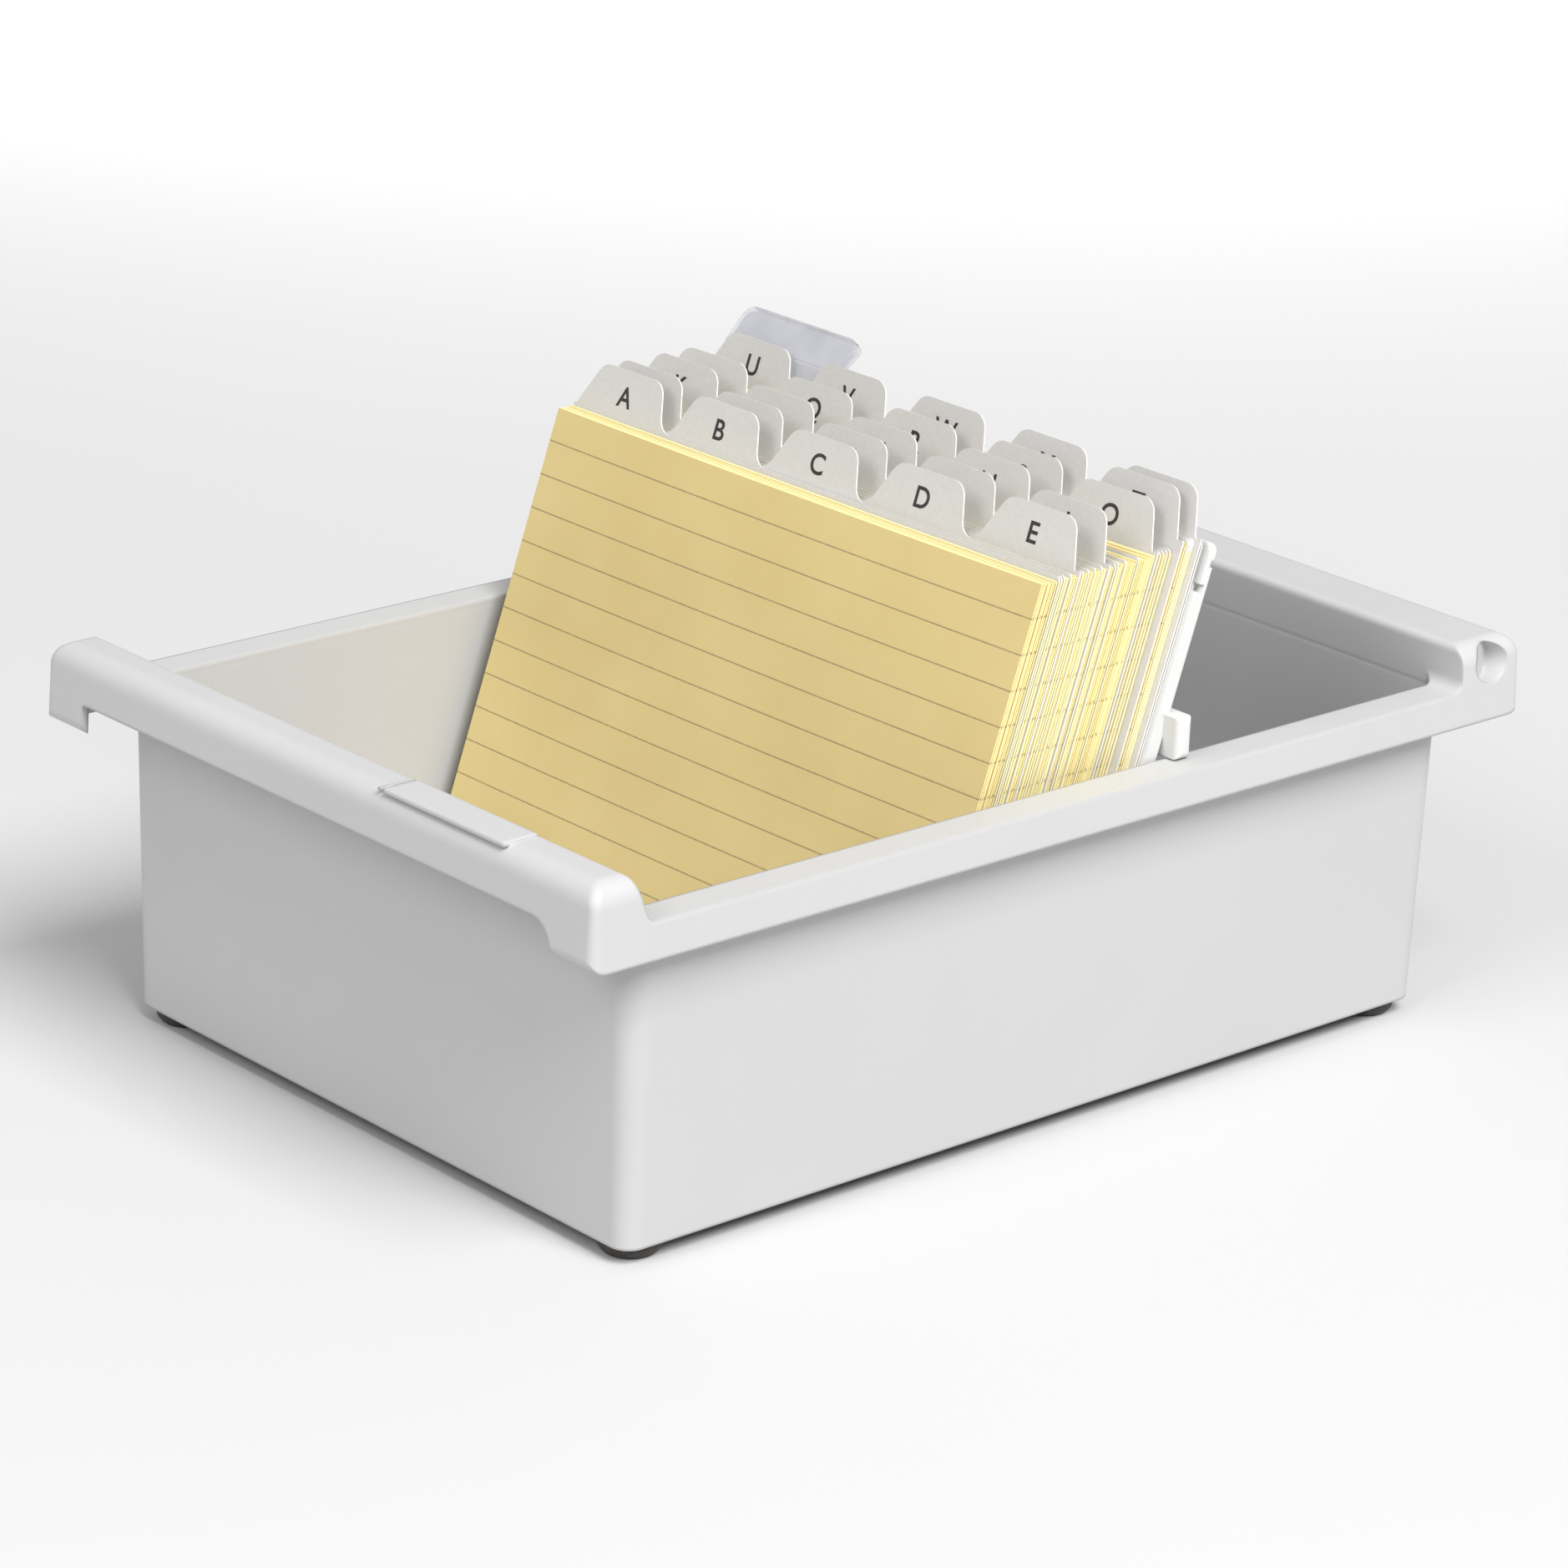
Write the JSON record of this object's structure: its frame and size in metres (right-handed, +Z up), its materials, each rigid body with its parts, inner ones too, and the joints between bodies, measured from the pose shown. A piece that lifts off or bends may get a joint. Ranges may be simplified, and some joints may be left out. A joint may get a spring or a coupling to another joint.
{
  "type": "index card drawer",
  "caption": "Open moulded card tray with grip bars, a sliding support plate, leaning ruled cards, tabbed letter guides and a clear clip-on rider.",
  "frame": {"origin": "on the surface the tray stands on, under the middle of its outline", "axes": "+X to the right across the cards, -Y to the front bar with the wide grip, +Z up"},
  "size_m": [0.1746, 0.2536, 0.1314],
  "materials": {
    "tray_plastic": "fine satin moulding",
    "foot_rubber": "matt",
    "plate_plastic": "satin",
    "card_paper": "uncoated card, ruled",
    "guide_board": "uncoated board",
    "rider_clear": "clear film",
    "rider_label": "paper strip"
  },
  "bodies": {
    "tray": {"tray_shell": "tray_plastic", "foot_front_left": "foot_rubber", "foot_front_right": "foot_rubber", "foot_rear_left": "foot_rubber", "foot_rear_right": "foot_rubber"},
    "support": {"support_plate": "plate_plastic"},
    "front_cards": {"pack_front": "card_paper"},
    "rider": {"rider_sheet": "rider_clear", "rider_insert": "rider_label"},
    "card_back": {"card_back": "card_paper"},
    "guide_a": {"guide_a": "guide_board"},
    "guide_b": {"guide_b": "guide_board"},
    "guide_c": {"guide_c": "guide_board"},
    "guide_d": {"guide_d": "guide_board"},
    "guide_e": {"guide_e": "guide_board"},
    "guide_f": {"guide_f": "guide_board"},
    "guide_g": {"guide_g": "guide_board"},
    "guide_h": {"guide_h": "guide_board"},
    "guide_i": {"guide_i": "guide_board"},
    "guide_j": {"guide_j": "guide_board"},
    "guide_k": {"guide_k": "guide_board"},
    "guide_l": {"guide_l": "guide_board"},
    "guide_m": {"guide_m": "guide_board"},
    "guide_n": {"guide_n": "guide_board"},
    "guide_o": {"guide_o": "guide_board"},
    "guide_p": {"guide_p": "guide_board"},
    "guide_q": {"guide_q": "guide_board"},
    "guide_r": {"guide_r": "guide_board"},
    "guide_s": {"guide_s": "guide_board"},
    "guide_t": {"guide_t": "guide_board"},
    "guide_u": {"guide_u": "guide_board"},
    "guide_v": {"guide_v": "guide_board"},
    "guide_w": {"guide_w": "guide_board"},
    "guide_x": {"guide_x": "guide_board"},
    "guide_yz": {"guide_yz": "guide_board"},
    "pack_behind_c": {"pack_behind_c": "card_paper"},
    "pack_behind_d": {"pack_behind_d": "card_paper"},
    "pack_behind_e": {"pack_behind_e": "card_paper"},
    "pack_behind_f": {"pack_behind_f": "card_paper"},
    "pack_behind_g": {"pack_behind_g": "card_paper"},
    "pack_behind_h": {"pack_behind_h": "card_paper"},
    "pack_behind_i": {"pack_behind_i": "card_paper"},
    "pack_behind_j": {"pack_behind_j": "card_paper"},
    "pack_behind_l": {"pack_behind_l": "card_paper"},
    "pack_behind_m": {"pack_behind_m": "card_paper"},
    "pack_behind_n": {"pack_behind_n": "card_paper"},
    "pack_behind_o": {"pack_behind_o": "card_paper"},
    "pack_behind_p": {"pack_behind_p": "card_paper"},
    "pack_behind_q": {"pack_behind_q": "card_paper"},
    "pack_behind_r": {"pack_behind_r": "card_paper"},
    "pack_behind_s": {"pack_behind_s": "card_paper"},
    "pack_behind_t": {"pack_behind_t": "card_paper"}
  },
  "joints": [
    {"name": "support_slide", "type": "slide", "parent": "tray", "child": "support", "axis": [0, 1, 0], "range_m": [-0.069, 0.072]},
    {"name": "front_cards_tilt", "type": "hinge", "parent": "support", "child": "front_cards", "pos_m": [0, -0.0378, 0.01615], "axis": [1, 0, 0], "range_deg": [0, 60]},
    {"name": "card_back_lift", "type": "slide", "parent": "support", "child": "card_back", "axis": [0, 0.319, 0.9478], "range_m": [0, 0.12]},
    {"name": "guide_a_lift", "type": "slide", "parent": "support", "child": "guide_a", "axis": [0, 0.319, 0.9478], "range_m": [0, 0.12]},
    {"name": "guide_b_lift", "type": "slide", "parent": "support", "child": "guide_b", "axis": [0, 0.319, 0.9478], "range_m": [0, 0.12]},
    {"name": "guide_c_lift", "type": "slide", "parent": "support", "child": "guide_c", "axis": [0, 0.319, 0.9478], "range_m": [0, 0.12]},
    {"name": "guide_d_lift", "type": "slide", "parent": "support", "child": "guide_d", "axis": [0, 0.319, 0.9478], "range_m": [0, 0.12]},
    {"name": "guide_e_lift", "type": "slide", "parent": "support", "child": "guide_e", "axis": [0, 0.319, 0.9478], "range_m": [0, 0.12]},
    {"name": "guide_f_lift", "type": "slide", "parent": "support", "child": "guide_f", "axis": [0, 0.319, 0.9478], "range_m": [0, 0.12]},
    {"name": "guide_g_lift", "type": "slide", "parent": "support", "child": "guide_g", "axis": [0, 0.319, 0.9478], "range_m": [0, 0.12]},
    {"name": "guide_h_lift", "type": "slide", "parent": "support", "child": "guide_h", "axis": [0, 0.319, 0.9478], "range_m": [0, 0.12]},
    {"name": "guide_i_lift", "type": "slide", "parent": "support", "child": "guide_i", "axis": [0, 0.319, 0.9478], "range_m": [0, 0.12]},
    {"name": "guide_j_lift", "type": "slide", "parent": "support", "child": "guide_j", "axis": [0, 0.319, 0.9478], "range_m": [0, 0.12]},
    {"name": "guide_k_lift", "type": "slide", "parent": "support", "child": "guide_k", "axis": [0, 0.319, 0.9478], "range_m": [0, 0.12]},
    {"name": "guide_l_lift", "type": "slide", "parent": "support", "child": "guide_l", "axis": [0, 0.319, 0.9478], "range_m": [0, 0.12]},
    {"name": "guide_m_lift", "type": "slide", "parent": "support", "child": "guide_m", "axis": [0, 0.319, 0.9478], "range_m": [0, 0.12]},
    {"name": "guide_n_lift", "type": "slide", "parent": "support", "child": "guide_n", "axis": [0, 0.319, 0.9478], "range_m": [0, 0.12]},
    {"name": "guide_o_lift", "type": "slide", "parent": "support", "child": "guide_o", "axis": [0, 0.319, 0.9478], "range_m": [0, 0.12]},
    {"name": "guide_p_lift", "type": "slide", "parent": "support", "child": "guide_p", "axis": [0, 0.319, 0.9478], "range_m": [0, 0.12]},
    {"name": "guide_q_lift", "type": "slide", "parent": "support", "child": "guide_q", "axis": [0, 0.319, 0.9478], "range_m": [0, 0.12]},
    {"name": "guide_r_lift", "type": "slide", "parent": "support", "child": "guide_r", "axis": [0, 0.319, 0.9478], "range_m": [0, 0.12]},
    {"name": "guide_s_lift", "type": "slide", "parent": "support", "child": "guide_s", "axis": [0, 0.319, 0.9478], "range_m": [0, 0.12]},
    {"name": "guide_t_lift", "type": "slide", "parent": "support", "child": "guide_t", "axis": [0, 0.319, 0.9478], "range_m": [0, 0.12]},
    {"name": "guide_u_lift", "type": "slide", "parent": "support", "child": "guide_u", "axis": [0, 0.319, 0.9478], "range_m": [0, 0.12]},
    {"name": "guide_v_lift", "type": "slide", "parent": "support", "child": "guide_v", "axis": [0, 0.319, 0.9478], "range_m": [0, 0.12]},
    {"name": "guide_w_lift", "type": "slide", "parent": "support", "child": "guide_w", "axis": [0, 0.319, 0.9478], "range_m": [0, 0.12]},
    {"name": "guide_x_lift", "type": "slide", "parent": "support", "child": "guide_x", "axis": [0, 0.319, 0.9478], "range_m": [0, 0.12]},
    {"name": "guide_yz_lift", "type": "slide", "parent": "support", "child": "guide_yz", "axis": [0, 0.319, 0.9478], "range_m": [0, 0.12]},
    {"name": "pack_behind_c_lift", "type": "slide", "parent": "support", "child": "pack_behind_c", "axis": [0, 0.319, 0.9478], "range_m": [0, 0.12]},
    {"name": "pack_behind_d_lift", "type": "slide", "parent": "support", "child": "pack_behind_d", "axis": [0, 0.319, 0.9478], "range_m": [0, 0.12]},
    {"name": "pack_behind_e_lift", "type": "slide", "parent": "support", "child": "pack_behind_e", "axis": [0, 0.319, 0.9478], "range_m": [0, 0.12]},
    {"name": "pack_behind_f_lift", "type": "slide", "parent": "support", "child": "pack_behind_f", "axis": [0, 0.319, 0.9478], "range_m": [0, 0.12]},
    {"name": "pack_behind_g_lift", "type": "slide", "parent": "support", "child": "pack_behind_g", "axis": [0, 0.319, 0.9478], "range_m": [0, 0.12]},
    {"name": "pack_behind_h_lift", "type": "slide", "parent": "support", "child": "pack_behind_h", "axis": [0, 0.319, 0.9478], "range_m": [0, 0.12]},
    {"name": "pack_behind_i_lift", "type": "slide", "parent": "support", "child": "pack_behind_i", "axis": [0, 0.319, 0.9478], "range_m": [0, 0.12]},
    {"name": "pack_behind_j_lift", "type": "slide", "parent": "support", "child": "pack_behind_j", "axis": [0, 0.319, 0.9478], "range_m": [0, 0.12]},
    {"name": "pack_behind_l_lift", "type": "slide", "parent": "support", "child": "pack_behind_l", "axis": [0, 0.319, 0.9478], "range_m": [0, 0.12]},
    {"name": "pack_behind_m_lift", "type": "slide", "parent": "support", "child": "pack_behind_m", "axis": [0, 0.319, 0.9478], "range_m": [0, 0.12]},
    {"name": "pack_behind_n_lift", "type": "slide", "parent": "support", "child": "pack_behind_n", "axis": [0, 0.319, 0.9478], "range_m": [0, 0.12]},
    {"name": "pack_behind_o_lift", "type": "slide", "parent": "support", "child": "pack_behind_o", "axis": [0, 0.319, 0.9478], "range_m": [0, 0.12]},
    {"name": "pack_behind_p_lift", "type": "slide", "parent": "support", "child": "pack_behind_p", "axis": [0, 0.319, 0.9478], "range_m": [0, 0.12]},
    {"name": "pack_behind_q_lift", "type": "slide", "parent": "support", "child": "pack_behind_q", "axis": [0, 0.319, 0.9478], "range_m": [0, 0.12]},
    {"name": "pack_behind_r_lift", "type": "slide", "parent": "support", "child": "pack_behind_r", "axis": [0, 0.319, 0.9478], "range_m": [0, 0.12]},
    {"name": "pack_behind_s_lift", "type": "slide", "parent": "support", "child": "pack_behind_s", "axis": [0, 0.319, 0.9478], "range_m": [0, 0.12]},
    {"name": "pack_behind_t_lift", "type": "slide", "parent": "support", "child": "pack_behind_t", "axis": [0, 0.319, 0.9478], "range_m": [0, 0.12]},
    {"name": "rider_lift", "type": "slide", "parent": "card_back", "child": "rider", "axis": [0, 0.319, 0.9478], "range_m": [0, 0.02]}
  ]
}
